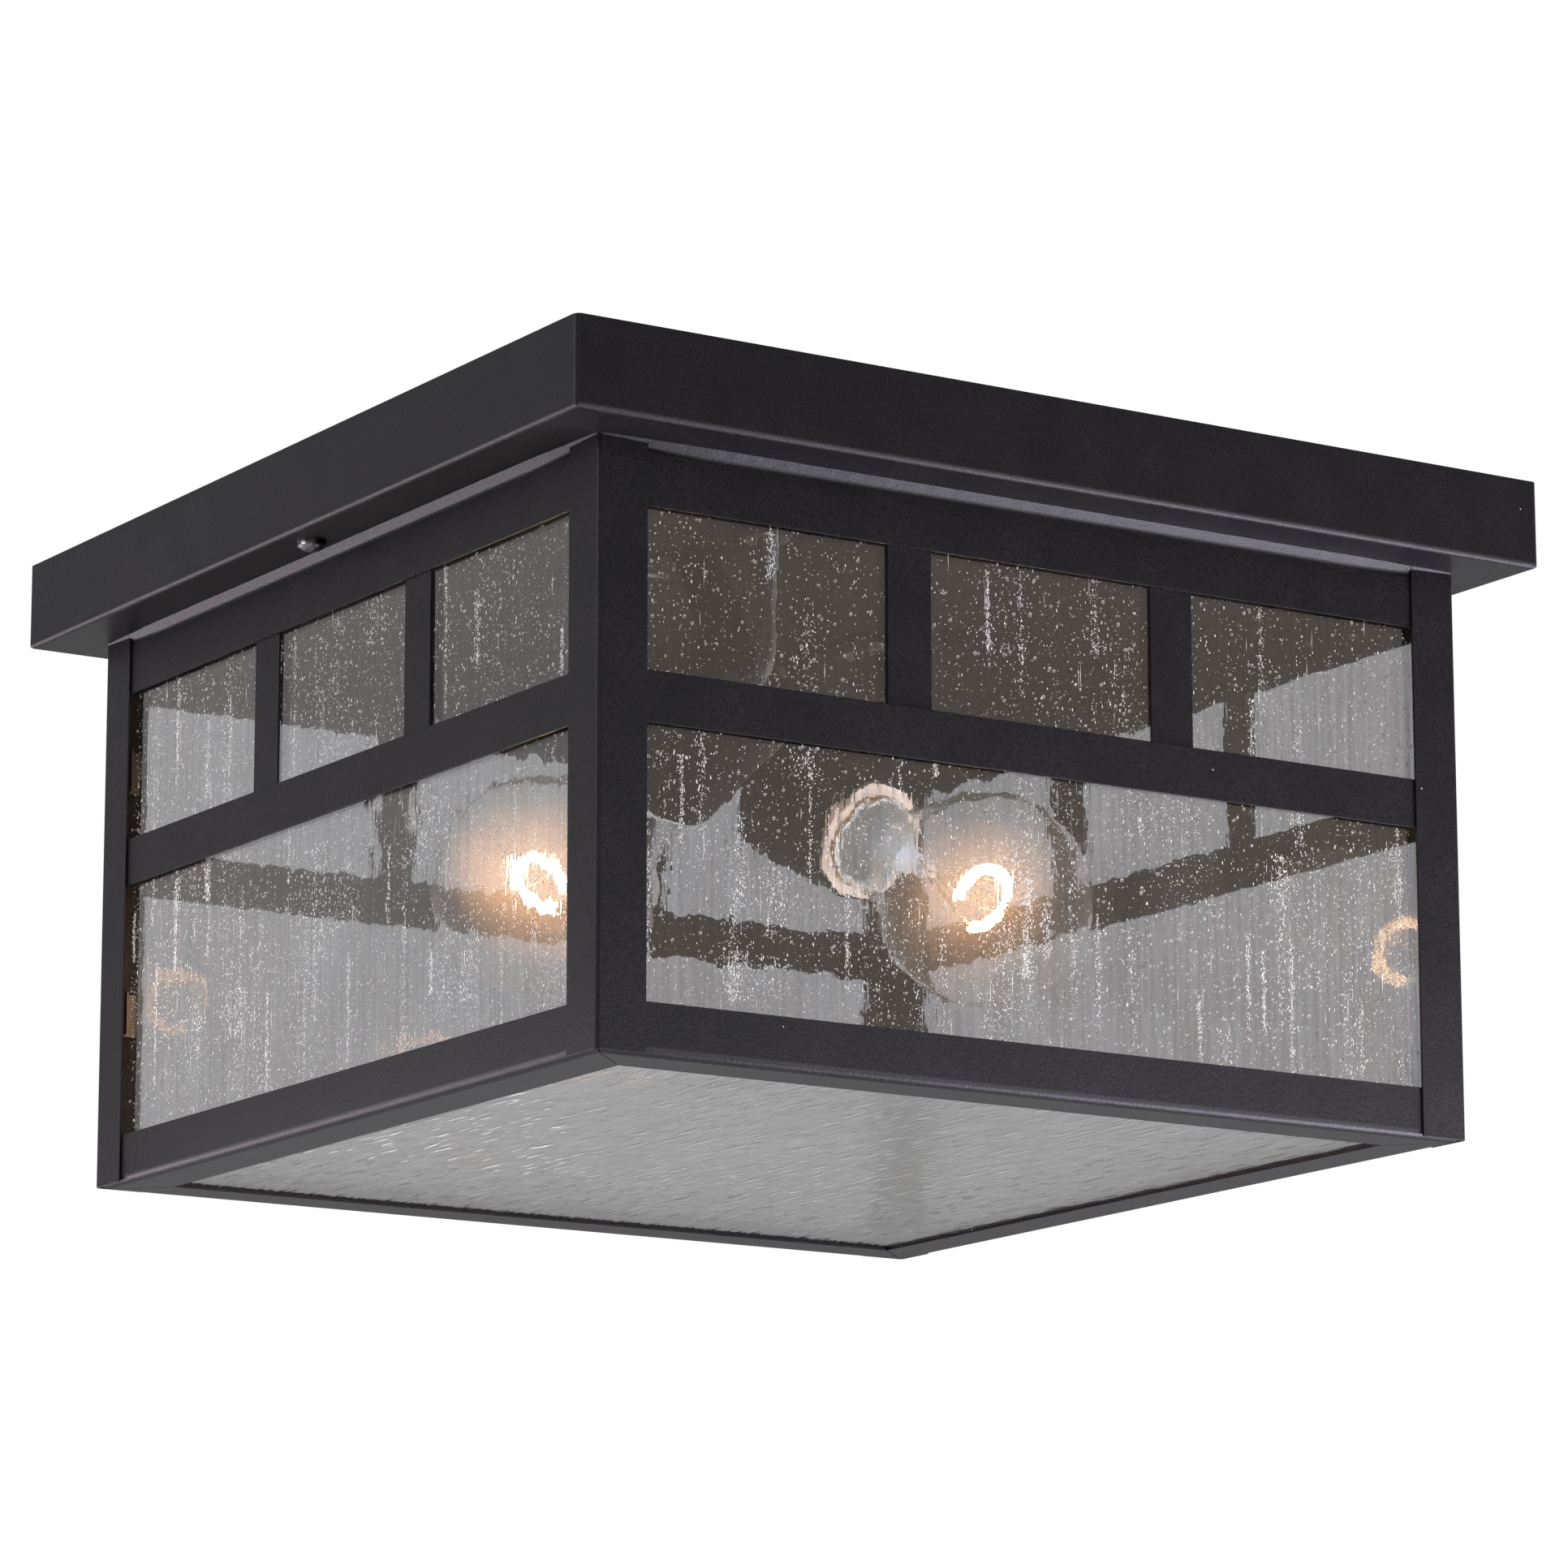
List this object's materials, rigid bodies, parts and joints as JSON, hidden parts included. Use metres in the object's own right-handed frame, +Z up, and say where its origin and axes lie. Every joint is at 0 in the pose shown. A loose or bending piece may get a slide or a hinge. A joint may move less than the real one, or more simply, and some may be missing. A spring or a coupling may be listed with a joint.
{
  "type": "outdoor flush mount light",
  "caption": "Square outdoor ceiling light: a flat pan with a glazed lantern cage of seeded glass below it and lamps on drooping sockets inside.",
  "frame": {"origin": "on the ceiling plane at the middle of the crossbar, centred between its two ceiling slots", "axes": "+Z up, out of the ceiling side of the crossbar; the slots lie along X with a body screw at each end; the front side faces -Y"},
  "size_m": [0.3048, 0.3048, 0.1808],
  "materials": {
    "dark_bronze": "satin powder coat, near-black oil-rubbed bronze",
    "plate_bronze": "matt dark bronze paint",
    "zinc_steel": "zinc plated",
    "clip_steel": "satin",
    "black_nickel": "black nickel plated",
    "green_steel": "green dyed plating",
    "green_sleeve": "green insulation",
    "black_sleeve": "black insulation",
    "white_sleeve": "white insulation",
    "rubber": "black rubber",
    "orange_plastic": "moulded plastic",
    "porcelain": "glazed porcelain",
    "brass": "plain brass",
    "nickel_brass": "nickel plated brass",
    "black_insulator": "black glass insulator",
    "bulb_glass": "clear thin glass",
    "stem_glass": "clear glass",
    "tungsten": "glowing tungsten coil",
    "seeded_glass": "clear seeded glass with bubbles and vertical streaks"
  },
  "bodies": {
    "ceiling_mount": {"crossbar": "zinc_steel", "crossbar_screws": "zinc_steel", "jam_nuts": "zinc_steel", "cap_nuts": "dark_bronze", "mounting_plate": "plate_bronze", "clinch_nuts": "zinc_steel", "lead_grommets": "rubber", "earth_screws": "green_steel", "earth_wire": "green_sleeve", "black_leads": "black_sleeve", "white_leads": "white_sleeve", "wire_nuts": "orange_plastic", "lamp_bracket_right": "dark_bronze", "lamp_bracket_left": "dark_bronze", "small_screws": "zinc_steel", "socket_cup_right": "dark_bronze", "socket_cup_left": "dark_bronze", "socket_right": "porcelain", "socket_left": "porcelain", "screw_shells": "brass", "socket_contacts": "brass"},
    "bulb_right": {"bulb_glass_right": "bulb_glass", "bulb_base_right": "nickel_brass", "bulb_tip_right": "black_insulator", "bulb_stem_right": "stem_glass", "filament_right": "tungsten"},
    "bulb_left": {"bulb_glass_left": "bulb_glass", "bulb_base_left": "nickel_brass", "bulb_tip_left": "black_insulator", "bulb_stem_left": "stem_glass", "filament_left": "tungsten"},
    "lantern": {"ceiling_pan": "dark_bronze", "post_front_left": "dark_bronze", "post_front_right": "dark_bronze", "post_back_right": "dark_bronze", "post_back_left": "dark_bronze", "top_rail_front": "dark_bronze", "top_rail_right": "dark_bronze", "top_rail_back": "dark_bronze", "top_rail_left": "dark_bronze", "mid_rail_front": "dark_bronze", "mid_rail_right": "dark_bronze", "mid_rail_back": "dark_bronze", "mid_rail_left": "dark_bronze", "bottom_rail_front": "dark_bronze", "bottom_rail_right": "dark_bronze", "bottom_rail_back": "dark_bronze", "bottom_rail_left": "dark_bronze", "mullions_front": "dark_bronze", "mullions_right": "dark_bronze", "mullions_back": "dark_bronze", "mullions_left": "dark_bronze", "pane_front": "seeded_glass", "pane_right": "seeded_glass", "pane_back_side": "seeded_glass", "pane_left": "seeded_glass", "bottom_pane": "seeded_glass", "glass_clips": "clip_steel"},
    "screw_left": {"body_screw_left": "black_nickel"},
    "screw_right": {"body_screw_right": "black_nickel"}
  },
  "joints": [
    {"name": "lantern_drop", "type": "slide", "parent": "ceiling_mount", "child": "lantern", "axis": [0, 0, -1], "range_m": [0, 0.15]},
    {"name": "bulb_right_turn", "type": "hinge", "parent": "ceiling_mount", "child": "bulb_right", "pos_m": [0.049, 0.022, -0.081], "axis": [0.1394, -0.88, -0.454], "continuous": true},
    {"name": "bulb_left_turn", "type": "hinge", "parent": "ceiling_mount", "child": "bulb_left", "pos_m": [-0.049, -0.022, -0.081], "axis": [-0.1394, 0.88, -0.454], "continuous": true},
    {"name": "body_screw_left_turn", "type": "hinge", "parent": "lantern", "child": "screw_left", "pos_m": [-0.1433, 0, -0.0243], "axis": [0, 0, 1], "continuous": true},
    {"name": "body_screw_right_turn", "type": "hinge", "parent": "lantern", "child": "screw_right", "pos_m": [0.1433, 0, -0.0243], "axis": [0, 0, 1], "continuous": true}
  ]
}
